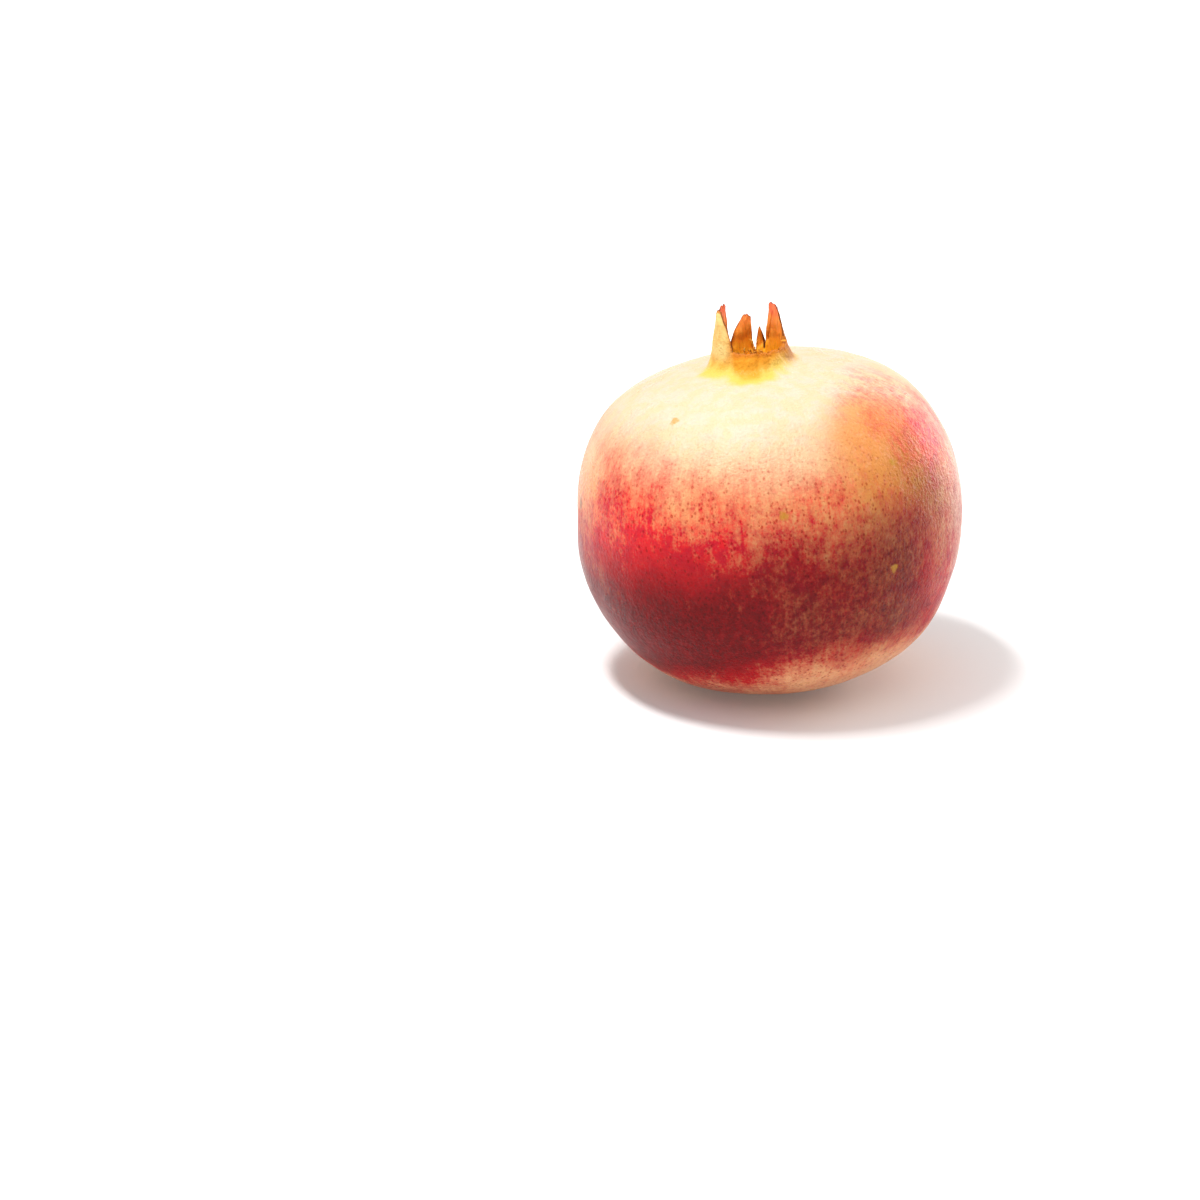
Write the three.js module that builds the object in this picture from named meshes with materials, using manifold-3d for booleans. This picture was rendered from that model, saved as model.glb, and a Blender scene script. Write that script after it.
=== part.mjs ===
// A whole ripe pomegranate as picked: the fruit with its calyx crown and cut stalk, and the dried
// stamens inside the crown. Millimetres, +Z up. The fruit leans a little to -X and rests on a small
// flat spot at Z = 0; the origin is below the middle of its bounding box.
//
// The fruit is made about its own axis first, with the crown up and the widest ring at height 0,
// then leant and lowered into its rest pose. Azimuths are in degrees, 0 at +X and 90 at +Y.

import * as THREE from "three";
import { mergeVertices } from "three/addons/utils/BufferGeometryUtils.js";
import Module from "manifold-3d";

// The body: a squared-off ball of revolution, flatter above its widest ring than below
const BODY = {
  radius: 48.3,
  top: { height: 38.9, squareness: 2.7 },
  bottom: { height: 44.2, squareness: 2.43 },
};

// Soft ribs and a slight ovality: waves round the axis, as a share of the radius
const WAVES = [
  { count: 2, share: 0.002, phase: 11 },
  { count: 3, share: 0.003, phase: 68 },
  { count: 6, share: 0.005, phase: 45 },
];

// Swells and hollows of the skin: where each is centred, as azimuth and polar angle from straight
// down, how high it stands and how far it reaches up and down, in degrees. Each is wider than high.
const SWELL_STRETCH = 2.2;
const SWELLS = [
  { azimuth: 0, polar: 116, height: -0.6, reach: 11 },
  { azimuth: 0, polar: 92, height: 0.4, reach: 10 },
  { azimuth: 0, polar: 65, height: -0.8, reach: 12 },
  { azimuth: 180, polar: 114, height: -0.6, reach: 11 },
  { azimuth: 180, polar: 79, height: 0.9, reach: 13 },
  { azimuth: 60, polar: 100, height: 0.5, reach: 18 },
  { azimuth: 110, polar: 70, height: -0.6, reach: 16 },
  { azimuth: 262, polar: 104, height: 0.4, reach: 16 },
  { azimuth: 310, polar: 62, height: -0.4, reach: 15 },
];

// Rest pose: how far the axis leans to -X, and how deep the skin is pressed flat
const LEAN = 5.6;
const REST_DEPTH = 0.8;

// The cut stalk in its dimple under the fruit
const DIMPLE = { radius: 7.5, depth: 2 };
const STALK = { radius: 2.6, rise: 1.1 };

// The calyx. Its outer wall sweeps up out of the body from the foot and closes in on the tube
// radius; the cup is the hollow inside. All within the shift radius stands a little to -X of the
// body's axis. Heights count from the body's surface.
const CALYX = {
  footRadius: 18,
  shift: -1.3,
  shiftRadius: 11,
  tubeRadius: 8.5,
  sweepHeight: 0.27,
  sweepPower: 1.5,
  innerRadius: 7.75,
  innerSpread: 0.03,
  cupDepth: 4.5,
};

// Sectors of the calyx rim, counter-clockwise: the azimuths and rim heights where each begins and
// ends, and its mesh columns. A sector with a tip is a lobe. It rises to the height at azimuth tip
// and is width degrees wide there; slant is how much higher the tip is at its end than in its
// middle, powers say how late each margin turns in to the tip, bow how far each margin bulges, and
// lean how far the tip stands in (-) or out (+). Where lobes have broken off, the rim sags between
// its ends and is ragged.
const SECTORS = [
  {
    from: 8, to: 65.5, low: [5.3, 2.4], steps: 11,
    tip: 40, width: 21, height: 13.7, slant: 0.4, powers: [1, 1.2], bow: [2, 0], lean: -0.1,
  },
  {
    from: 65.5, to: 83, low: [2.4, 0.4], steps: 3,
    tip: 72, width: 5, height: 7.3, slant: 0.2, powers: [2, 1.3], bow: [0, 0], lean: -0.2,
  },
  { from: 83, to: 87.5, low: [0.4, 0.4], steps: 1 },
  {
    from: 87.5, to: 126, low: [0.4, 2.3], steps: 8,
    tip: 94, width: 16, height: 10.8, slant: 0, powers: [4, 1.9], bow: [1, 0], lean: -0.4,
  },
  {
    from: 126, to: 178, low: [2.3, 4.8], steps: 10,
    tip: 145, width: 20, height: 14.6, slant: -0.5, powers: [1, 1.5], bow: [0, 0], lean: -1,
  },
  {
    from: 178, to: 240, low: [4.8, 5.4], steps: 12,
    tip: 203, width: 18, height: 15.2, slant: 0.3, powers: [1.2, 2.2], bow: [0, 0], lean: -1.1,
  },
  { from: 240, to: 368, low: [5.4, 5.3], steps: 27, sag: 0.7, ragged: 0.3 },
];
const TIP_ROUNDING = 0.7;
const LEAN_POWER = 1.5;

// Rows of the mesh; those of the calyx wall crowd together where it leaves the body
const LOBE_ROWS = 7;
const WALL_ROWS = 5;
const WALL_CROWDING = 2.2;
const BODY_ROWS = 24;
const COLUMNS = SECTORS.reduce((sum, sector) => sum + sector.steps, 0);

// The dry dish that lines the cup, as radius and height of its section, from the middle underneath
// round the brim to the middle on top
const DISH = [
  [0, -3.7],
  [4, -3.6],
  [6.2, -2.7],
  [7.3, -1.6],
  [7.35, 0.2],
  [6.4, 0.2],
  [6.3, -1.3],
  [5.2, -2],
  [0, -2.6],
];

// Dried stamens in rings on the dish's wall, and the style in its middle. Each bends up and inwards
// from the root radius to a tip radius within its range, and sweeps a few degrees to either side.
const STAMENS = {
  rings: [-1.8, -1.1, -0.4],
  perRing: 19,
  rootRadius: 6.85,
  tipRadius: [2.2, 6],
  rise: [1.4, 2.6],
  sweep: 9,
  scatter: 0.35,
  thickness: 0.42,
  anther: 0.62,
};
const STYLE = { radius: 0.7, height: 1.2, stigmaRadius: 1.1 };
const SEED = 20711;

const COLOURS = { rind: 0xc65a3f, stamens: 0x84552b };

const radians = THREE.MathUtils.degToRad;
const mix = THREE.MathUtils.lerp;
const random = seededRandom(SEED);
const wasm = await Module();
wasm.setup();

// A repeatable source of numbers between 0 and 1
function seededRandom(seed) {
  let state = seed;
  return () => {
    state = (state * 1664525 + 1013904223) % 4294967296;
    return state / 4294967296;
  };
}

// Point at a radius, azimuth and height
function polar(radius, azimuth, height) {
  const angle = radians(azimuth);
  return new THREE.Vector3(radius * Math.cos(angle), radius * Math.sin(angle), height);
}

// Distance from the body's centre to its surface, at a polar angle counted from straight down
function bodyReach(polarAngle) {
  const half = polarAngle > Math.PI / 2 ? BODY.top : BODY.bottom;
  const across = Math.sin(polarAngle) / BODY.radius;
  const along = Math.abs(Math.cos(polarAngle)) / half.height;
  return (across ** half.squareness + along ** half.squareness) ** (-1 / half.squareness);
}

// How the soft ribs and the swells scale the body there; they fade out towards both poles
function ribScale(polarAngle, azimuth) {
  const fade = Math.sin(polarAngle) ** 2;
  const wave = (w) => w.share * Math.cos(radians(w.count * (azimuth - w.phase)));
  const ribs = WAVES.reduce((sum, w) => sum + wave(w), 0);
  const swells = SWELLS.reduce((sum, s) => sum + swellHeight(s, polarAngle, azimuth), 0);
  return 1 + fade * (ribs + swells / BODY.radius);
}

// Height of one swell at a place on the body
function swellHeight(swell, polarAngle, azimuth) {
  const turn = ((azimuth - swell.azimuth + 540) % 360) - 180;
  const across = (turn * Math.sin(radians(swell.polar))) / (SWELL_STRETCH * swell.reach);
  const along = (THREE.MathUtils.radToDeg(polarAngle) - swell.polar) / swell.reach;
  return swell.height * Math.exp(-(across ** 2) - along ** 2);
}

// Distance of the plain surface of one half from the widest ring's plane, at a radius
function capHeight(half, radius) {
  return half.height * (1 - (radius / BODY.radius) ** half.squareness) ** (1 / half.squareness);
}

// Radius of the calyx's outer wall at a height
function outerWall(height) {
  const sweep = (height / CALYX.sweepHeight) ** (1 / CALYX.sweepPower);
  return (CALYX.footRadius + sweep * CALYX.tubeRadius) / (1 + sweep);
}

// Radius of its inner wall
function innerWall(height) {
  return CALYX.innerRadius + CALYX.innerSpread * height;
}

// A point on the calyx; depth is 0 on the outer face and 1 on the inner one
function calyxPoint(azimuth, height, depth, lean = 0) {
  const radius = mix(outerWall(height), innerWall(height), depth) + lean;
  return shifted(polar(radius, azimuth, capHeight(BODY.top, radius) + height));
}

// Moves a point of the calyx off the body's axis: fully on the tube, not at all at the foot
function shifted(point) {
  const radius = Math.hypot(point.x, point.y);
  const share = THREE.MathUtils.inverseLerp(CALYX.footRadius, CALYX.shiftRadius, radius);
  point.x += CALYX.shift * THREE.MathUtils.clamp(share, 0, 1);
  return point;
}

// A closed surface, gathered vertex by vertex and face by face
class Shell {
  points = [];
  faces = [];

  add(point) {
    this.points.push(point);
    return this.points.length - 1;
  }

  // A ring or row of vertices; place gives the point of each
  row(count, place) {
    return Array.from({ length: count }, (_, i) => this.add(place(i)));
  }

  quad(a, b, c, d) {
    this.faces.push([a, b, c], [a, c, d]);
  }

  // Joins two rows of equal length; seen from outside the first is the lower one
  strip(lower, upper, closed = false) {
    const last = closed ? lower.length : lower.length - 1;
    for (let i = 0; i < last; i++) {
      const next = (i + 1) % lower.length;
      this.quad(lower[i], lower[next], upper[next], upper[i]);
    }
  }

  // Joins a stack of rings, the lowest first
  stack(rings) {
    for (let i = 0; i + 1 < rings.length; i++) this.strip(rings[i], rings[i + 1], true);
  }

  // Closes a ring with a point in its middle, facing up or down
  cap(ring, point, up) {
    const middle = this.add(point);
    ring.forEach((vertex, i) => {
      const next = ring[(i + 1) % ring.length];
      this.faces.push(up ? [vertex, next, middle] : [next, vertex, middle]);
    });
  }

  geometry() {
    const geometry = new THREE.BufferGeometry().setFromPoints(this.points);
    return geometry.setIndex(this.faces.flat());
  }
}

// Azimuth and rim height of every mesh column of the calyx
function rimColumns() {
  const columns = [];
  for (const sector of SECTORS)
    for (let i = 0; i < sector.steps; i++) {
      const share = i / sector.steps;
      const sag = (sector.sag ?? 0) * Math.sin(Math.PI * share);
      const ragged = (sector.ragged ?? 0) * (2 * random() - 1) * (i > 0);
      columns.push({
        azimuth: mix(sector.from, sector.to, share),
        low: mix(sector.low[0], sector.low[1], share) - sag + ragged,
      });
    }
  return columns;
}

// Azimuth of a column where the columns are evenly spaced
function evenAzimuth(column) {
  return SECTORS[0].from + (360 * column) / COLUMNS;
}

// Rings of the stalk and its dimple, from the cut end outwards
function stalkRings(shell) {
  const skin = -capHeight(BODY.bottom, DIMPLE.radius);
  const floor = skin + DIMPLE.depth;
  const section = [
    [STALK.radius * 0.85, floor - STALK.rise],
    [STALK.radius, floor - STALK.rise * 0.75],
    [STALK.radius * 1.06, floor],
    [mix(STALK.radius, DIMPLE.radius, 0.4), mix(floor, skin, 0.12)],
    [mix(STALK.radius, DIMPLE.radius, 0.75), mix(floor, skin, 0.6)],
  ];
  const rings = section.map(([radius, height]) =>
    shell.row(COLUMNS, (column) => polar(radius, evenAzimuth(column), height)),
  );
  shell.cap(rings[0], new THREE.Vector3(0, 0, floor - STALK.rise * 0.95), false);
  return rings;
}

// Rings of the body, from the edge of the dimple up to the foot of the calyx
function bodyRings(shell) {
  const first = Math.atan2(DIMPLE.radius, capHeight(BODY.bottom, DIMPLE.radius));
  const last = Math.PI - Math.atan2(CALYX.footRadius, capHeight(BODY.top, CALYX.footRadius));
  return Array.from({ length: BODY_ROWS + 1 }, (_, row) => {
    const angle = mix(first, last, row / BODY_ROWS);
    return shell.row(COLUMNS, (column) => {
      const reach = bodyReach(angle) * ribScale(angle, evenAzimuth(column));
      return polar(reach * Math.sin(angle), evenAzimuth(column), -reach * Math.cos(angle));
    });
  });
}

// Rings of the calyx's outer wall, from above its foot to the rim
function wallRings(shell, columns) {
  return Array.from({ length: WALL_ROWS }, (_, row) => {
    const share = (row + 1) / WALL_ROWS;
    return shell.row(COLUMNS, (column) => {
      const azimuth = mix(evenAzimuth(column), columns[column].azimuth, share);
      return calyxPoint(azimuth, columns[column].low * share ** WALL_CROWDING, 0);
    });
  });
}

// Rings of the cup inside the calyx, from its floor up to the rim
function cupRings(shell, columns) {
  const floor = BODY.top.height - CALYX.cupDepth;
  const section = [
    [CALYX.innerRadius * 0.55, floor],
    [CALYX.innerRadius * 0.88, floor + CALYX.cupDepth * 0.16],
    [CALYX.innerRadius, floor + CALYX.cupDepth * 0.5],
    [CALYX.innerRadius, BODY.top.height],
  ];
  const rings = section.map(([radius, height]) =>
    shell.row(COLUMNS, (column) => shifted(polar(radius, columns[column].azimuth, height))),
  );
  shell.cap(rings[0], shifted(new THREE.Vector3(0, 0, floor)), true);
  return [
    ...rings,
    shell.row(COLUMNS, (column) => calyxPoint(columns[column].azimuth, columns[column].low, 1)),
  ];
}

// Rows of one face of a lobe, from above the rim to the tip
function lobeFace(shell, lobe, depth) {
  return Array.from({ length: LOBE_ROWS }, (_, row) => {
    const rise = (row + 1) / LOBE_ROWS;
    const bulge = Math.sin(Math.PI * rise);
    const tipStart = lobe.tip - lobe.width / 2;
    const tipEnd = lobe.tip + lobe.width / 2;
    const start = mix(lobe.from, tipStart, rise ** lobe.powers[0]) - lobe.bow[0] * bulge;
    const end = mix(lobe.to, tipEnd, rise ** lobe.powers[1]) + lobe.bow[1] * bulge;
    return shell.row(lobe.steps + 1, (column) => {
      const share = column / lobe.steps;
      const crest = lobe.height + lobe.slant * (2 * share - 1) - TIP_ROUNDING * (2 * share - 1) ** 2;
      const height = mix(mix(lobe.low[0], lobe.low[1], share), crest, rise);
      return calyxPoint(mix(start, end, share), height, depth, lobe.lean * rise ** LEAN_POWER);
    });
  });
}

// One lobe on its stretch of the rim: both faces, both margins and the tip
function addLobe(shell, lobe, outerFoot, innerFoot) {
  const outer = [outerFoot, ...lobeFace(shell, lobe, 0)];
  const inner = [innerFoot, ...lobeFace(shell, lobe, 1)];
  const end = lobe.steps;
  for (let row = 0; row < LOBE_ROWS; row++) {
    shell.strip(outer[row], outer[row + 1]);
    shell.strip(inner[row + 1], inner[row]);
    shell.quad(inner[row][0], outer[row][0], outer[row + 1][0], inner[row + 1][0]);
    shell.quad(outer[row][end], inner[row][end], inner[row + 1][end], outer[row + 1][end]);
  }
  shell.strip(outer[LOBE_ROWS], inner[LOBE_ROWS]);
}

// The rim all the way round, with its lobes
function addRim(shell, outerRim, innerRim) {
  let start = 0;
  for (const sector of SECTORS) {
    const span = Array.from({ length: sector.steps + 1 }, (_, i) => (start + i) % COLUMNS);
    const outerFoot = span.map((column) => outerRim[column]);
    const innerFoot = span.map((column) => innerRim[column]);
    if (sector.tip === undefined) shell.strip(outerFoot, innerFoot);
    else addLobe(shell, sector, outerFoot, innerFoot);
    start += sector.steps;
  }
}

// The whole fruit as one closed surface about its own axis
function fruitGeometry() {
  const shell = new Shell();
  const columns = rimColumns();
  const outside = [...stalkRings(shell), ...bodyRings(shell), ...wallRings(shell, columns)];
  const cup = cupRings(shell, columns);
  shell.stack(outside);
  shell.stack(cup.toReversed());
  addRim(shell, outside.at(-1), cup.at(-1));
  return shell.geometry();
}

// A tapering four-sided rod along a path of points, with the distance to its corners at each
function rodGeometry(path, cornerRadii) {
  const shell = new Shell();
  const forward = path.at(-1).clone().sub(path[0]).normalize();
  const side = new THREE.Vector3(0, 1, 0).cross(forward).normalize();
  const up = forward.clone().cross(side);
  const rings = path.map((point, i) =>
    shell.row(4, (corner) => {
      const angle = (Math.PI / 2) * corner;
      return point
        .clone()
        .addScaledVector(side, cornerRadii[i] * Math.cos(angle))
        .addScaledVector(up, cornerRadii[i] * Math.sin(angle));
    }),
  );
  shell.stack(rings);
  shell.cap(rings[0], path[0], false);
  shell.cap(rings.at(-1), path.at(-1), true);
  return shell.geometry();
}

// One dried stamen: a thread from the dish's wall that bends up and inwards to its anther
function stamenGeometry(azimuth, rootHeight) {
  const tipRadius = mix(...STAMENS.tipRadius, random());
  const rise = mix(...STAMENS.rise, random());
  const tipAzimuth = azimuth + STAMENS.sweep * (2 * random() - 1);
  const base = BODY.top.height;
  const at = (share, lift) =>
    polar(
      mix(STAMENS.rootRadius, tipRadius, share),
      mix(azimuth, tipAzimuth, share),
      base + rootHeight + rise * lift,
    );
  const path = [at(0, 0), at(0.4, 0.55), at(0.86, 0.93), at(1, 1)];
  const { thickness, anther } = STAMENS;
  return rodGeometry(path, [thickness, thickness, anther, anther * 0.5]);
}

// The style with its stigma
function styleGeometry() {
  const base = BODY.top.height;
  const section = [
    [0, DISH.at(-1)[1] - 0.6],
    [STYLE.radius * 1.3, DISH.at(-1)[1] - 0.6],
    [STYLE.radius, 0],
    [STYLE.radius, STYLE.height - 0.9],
    [STYLE.stigmaRadius, STYLE.height - 0.4],
    [STYLE.stigmaRadius * 0.7, STYLE.height],
    [0, STYLE.height],
  ];
  return latheUp(section, base, 8);
}

// A section of radius and height turned round the axis
function latheUp(section, base, segments) {
  const points = section.map(([radius, height]) => new THREE.Vector2(radius, height + base));
  return new THREE.LatheGeometry(points, segments).rotateX(Math.PI / 2);
}

// A geometry as a solid that can be joined and cut
function solid(geometry) {
  const bare = new THREE.BufferGeometry();
  bare.setAttribute("position", geometry.getAttribute("position"));
  bare.setIndex(geometry.getIndex());
  const welded = mergeVertices(bare, 1e-3);
  const corners = welded.getIndex().array;
  const triVerts = [];
  for (let i = 0; i < corners.length; i += 3) {
    const [a, b, c] = corners.slice(i, i + 3);
    if (a !== b && b !== c && c !== a) triVerts.push(a, b, c);
  }
  return new wasm.Manifold(
    new wasm.Mesh({
      numProp: 3,
      vertProperties: welded.getAttribute("position").array,
      triVerts: new Uint32Array(triVerts),
    }),
  );
}

// A solid as a geometry again
function surface(body) {
  const mesh = body.getMesh();
  const geometry = new THREE.BufferGeometry();
  geometry.setAttribute("position", new THREE.BufferAttribute(mesh.vertProperties, 3));
  geometry.setIndex(new THREE.BufferAttribute(mesh.triVerts, 1));
  return geometry;
}

// The stamens and the style grown together on their dish
function stamensSolid() {
  const { rings, perRing } = STAMENS;
  let body = solid(latheUp(DISH, BODY.top.height, 28)).add(solid(styleGeometry()));
  rings.forEach((height, ring) => {
    for (let i = 0; i < perRing; i++) {
      const azimuth = (360 / perRing) * (i + ring / rings.length + STAMENS.scatter * random());
      body = body.add(solid(stamenGeometry(azimuth, height + STAMENS.scatter * random())));
    }
  });
  return body.translate(CALYX.shift, 0, 0);
}

// Leans a geometry about its own centre into the rest pose
function leant(geometry) {
  return geometry.rotateY(radians(-LEAN));
}

// Presses the underside flat: takes off all that is below the rest plane
function pressedFlat(geometry, level) {
  const block = new THREE.BoxGeometry(200, 200, 50).translate(0, 0, level - 25);
  return surface(solid(geometry).subtract(solid(block)));
}

function namedMesh(name, geometry, colour, roughness) {
  geometry.computeVertexNormals();
  const material = new THREE.MeshStandardMaterial({ color: colour, roughness, metalness: 0 });
  const mesh = new THREE.Mesh(geometry, material);
  mesh.name = name;
  return mesh;
}

// The pomegranate in its rest pose
function pomegranate() {
  const whole = leant(fruitGeometry());
  whole.computeBoundingBox();
  const level = whole.boundingBox.min.z + REST_DEPTH;
  const fruit = pressedFlat(whole, level);
  const stamens = leant(surface(stamensSolid()));

  fruit.computeBoundingBox();
  const centre = fruit.boundingBox.getCenter(new THREE.Vector3());
  const group = new THREE.Group();
  group.add(namedMesh("fruit", fruit, COLOURS.rind, 0.45));
  group.add(namedMesh("stamens", stamens, COLOURS.stamens, 0.85));
  for (const mesh of group.children) mesh.geometry.translate(-centre.x, -centre.y, -level);
  return group;
}

export default pomegranate();
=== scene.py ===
"""A whole ripe pomegranate: the rind with its calyx crown and cut stalk, and the dried stamens.

Shapes are worked out in millimetres about the fruit's own axis, with the crown up and the widest
ring at height 0. They are then leant, lowered and scaled into the frame, which is in metres.
Azimuths are in degrees, 0 at +X and 90 at +Y, so the viewer stands at 270. The body and the calyx
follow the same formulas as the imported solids, with finer steps and with relief added.
"""

import math
import random

import bpy
from mathutils import Euler, Matrix, Vector, noise


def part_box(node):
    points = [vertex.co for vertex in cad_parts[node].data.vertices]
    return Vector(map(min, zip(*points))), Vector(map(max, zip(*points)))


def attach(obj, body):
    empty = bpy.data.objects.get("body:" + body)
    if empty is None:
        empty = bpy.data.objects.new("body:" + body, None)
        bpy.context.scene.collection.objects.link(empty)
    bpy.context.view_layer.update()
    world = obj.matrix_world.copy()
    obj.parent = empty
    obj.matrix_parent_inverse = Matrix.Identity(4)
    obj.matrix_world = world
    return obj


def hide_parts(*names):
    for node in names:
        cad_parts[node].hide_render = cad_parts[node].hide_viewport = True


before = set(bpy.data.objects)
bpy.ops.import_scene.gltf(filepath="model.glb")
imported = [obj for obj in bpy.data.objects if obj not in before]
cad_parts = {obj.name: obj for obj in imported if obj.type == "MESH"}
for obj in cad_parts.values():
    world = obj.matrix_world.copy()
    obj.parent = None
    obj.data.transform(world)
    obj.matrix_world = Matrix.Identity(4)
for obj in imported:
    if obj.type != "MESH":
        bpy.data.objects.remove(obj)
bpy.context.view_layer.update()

MM = 0.001

# The body: radius of its widest ring, and the height and squareness of each half
BODY_RADIUS = 48.3
TOP = (38.9, 2.7)
BOTTOM = (44.2, 2.43)

# Soft ribs, as count, share of the radius and phase
WAVES = [(2, 0.002, 11), (3, 0.003, 68), (6, 0.005, 45)]

# Swells and hollows, as azimuth, polar angle from straight down, height and reach in degrees
SWELL_STRETCH = 2.2
SWELLS = [
    (0, 116, -0.6, 11),
    (0, 92, 0.4, 10),
    (0, 65, -0.8, 12),
    (180, 114, -0.6, 11),
    (180, 79, 0.9, 13),
    (60, 100, 0.5, 18),
    (110, 70, -0.6, 16),
    (262, 104, 0.4, 16),
    (310, 62, -0.4, 15),
]

# Rest pose: lean of the axis to -X, and how deep the skin is pressed flat
LEAN = math.radians(5.6)
REST_DEPTH = 0.8

# The cut stalk in its dimple
DIMPLE_RADIUS = 7.5
DIMPLE_DEPTH = 2
STALK_RADIUS = 2.6
STALK_RISE = 1.1

# The calyx tube
FOOT_RADIUS = 18
SHIFT = -1.3
SHIFT_RADIUS = 11
TUBE_RADIUS = 8.5
SWEEP_HEIGHT = 0.27
SWEEP_POWER = 1.5
INNER_RADIUS = 7.75
INNER_SPREAD = 0.03
CUP_DEPTH = 4.5

# Sectors of the rim, counter-clockwise; those with a tip are lobes
SECTORS = [
    dict(start=8, end=65.5, low=(5.3, 2.4), steps=11, tip=40, width=21, height=13.7, slant=0.4,
         powers=(1, 1.2), bow=2, lean=-0.1),
    dict(start=65.5, end=83, low=(2.4, 0.4), steps=3, tip=72, width=5, height=7.3, slant=0.2,
         powers=(2, 1.3), bow=0, lean=-0.2),
    dict(start=83, end=87.5, low=(0.4, 0.4), steps=1),
    dict(start=87.5, end=126, low=(0.4, 2.3), steps=8, tip=94, width=16, height=10.8, slant=0,
         powers=(4, 1.9), bow=1, lean=-0.4),
    dict(start=126, end=178, low=(2.3, 4.8), steps=10, tip=145, width=20, height=14.6, slant=-0.5,
         powers=(1, 1.5), bow=0, lean=-1),
    dict(start=178, end=240, low=(4.8, 5.4), steps=12, tip=203, width=18, height=15.2, slant=0.3,
         powers=(1.2, 2.2), bow=0, lean=-1.1),
    dict(start=240, end=368, low=(5.4, 5.3), steps=27, sag=0.7, ragged=0.75),
]
TIP_ROUNDING = 0.7
LEAN_POWER = 1.5

# Height over the body's cap at which the mask "rise" reaches 1
RISE_SCALE = 15

# Clefts between sepals, in the wall's inner face: azimuth, and the heights of their lower and
# upper end. The outer face has a groove for each seam between sepals.
CLEFTS = [(126, -0.8, 3.2), (66, 1, 4.2), (236, 1, 6), (283, 0, 6), (326, 0, 6)]
SEAMS = [8, 66, 85, 126, 178, 238, 283, 326]

# A fold down the inside of the right lobe: azimuth and height of its lower and upper end
FOLD = ((58, 4.5), (42, 11))

# Fineness of the mesh
FINENESS = 6
COLUMNS = FINENESS * sum(sector["steps"] for sector in SECTORS)
BODY_ROWS = 112
WALL_ROWS = 24
WALL_CROWDING = 2.2
CUP_ROWS = 12
LOBE_ROWS = 26

# Masks that the meshes hand to their materials, one number per vertex: height up the calyx, dry
# edge, cleft (painted shade in the creases, with a brown stain) and cork round the stalk
MASKS = ("rise", "edge", "cleft", "cork")


def mix(a, b, share):
    return a + (b - a) * share


def smooth(low, high, value):
    """0 below low, 1 above high, and a soft step between them."""
    share = min(max((value - low) / (high - low), 0), 1)
    return share * share * (3 - 2 * share)


def turn_between(a, b):
    """Signed angle from azimuth b to azimuth a, in degrees."""
    return (a - b + 540) % 360 - 180


def polar(radius, azimuth, height):
    angle = math.radians(azimuth)
    return Vector((radius * math.cos(angle), radius * math.sin(angle), height))


def rough(point, size, seed=0):
    """Smooth noise from -1 to 1 with lumps of a size in millimetres."""
    return noise.noise(point / size + Vector((seed * 7.3, seed * 3.1, seed * 5.7)))


def body_reach(angle):
    """Distance from the body's centre to its surface, at an angle from straight down."""
    height, squareness = TOP if angle > math.pi / 2 else BOTTOM
    across = (math.sin(angle) / BODY_RADIUS) ** squareness
    along = (abs(math.cos(angle)) / height) ** squareness
    return (across + along) ** (-1 / squareness)


def rib_scale(angle, azimuth):
    """How the soft ribs and the swells scale the body."""
    ribs = 0
    for count, share, phase in WAVES:
        ribs += share * math.cos(math.radians(count * (azimuth - phase)))
    swells = 0
    for centre, middle, height, reach in SWELLS:
        across = turn_between(azimuth, centre) * math.sin(math.radians(middle))
        across /= SWELL_STRETCH * reach
        along = (math.degrees(angle) - middle) / reach
        swells += height * math.exp(-(across**2) - along**2)
    return 1 + math.sin(angle) ** 2 * (ribs + swells / BODY_RADIUS)


def cap_height(half, radius):
    height, squareness = half
    return height * (1 - (radius / BODY_RADIUS) ** squareness) ** (1 / squareness)


def outer_wall(height):
    sweep = (max(height, 0) / SWEEP_HEIGHT) ** (1 / SWEEP_POWER)
    return (FOOT_RADIUS + sweep * TUBE_RADIUS) / (1 + sweep)


def inner_wall(height):
    return INNER_RADIUS + INNER_SPREAD * height


def shifted(point):
    """Moves a point of the calyx off the body's axis: fully on the tube, not at all at the foot."""
    radius = math.hypot(point.x, point.y)
    share = (FOOT_RADIUS - radius) / (FOOT_RADIUS - SHIFT_RADIUS)
    point.x += SHIFT * min(max(share, 0), 1)
    return point


def seam_depth(azimuth, height):
    """Depth of the grooves down the outside of the tube, which fade towards its foot."""
    fade = smooth(0.1, 3, height)
    depth = 0
    for seam in SEAMS:
        depth += 0.42 * math.exp(-((turn_between(azimuth, seam) / 5.5) ** 2))
    return fade * depth


def cleft_depth(azimuth, height):
    """Depth of the dark clefts in the inside of the tube."""
    depth = 0
    for cleft, low, high in CLEFTS:
        width = mix(1.2, 4.2, min(max((height - low) / (high - low), 0), 1))
        across = math.exp(-((turn_between(azimuth, cleft) / width) ** 2))
        depth += across * smooth(low, low + 1.2, height)
    (low_azimuth, low), (high_azimuth, high) = FOLD
    fold = mix(low_azimuth, high_azimuth, (height - low) / (high - low))
    inside = smooth(low - 1.5, low, height) * (1 - smooth(high, high + 2, height))
    depth += 0.6 * math.exp(-((turn_between(azimuth, fold) / 1.7) ** 2)) * inside
    return min(depth, 1)


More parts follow.
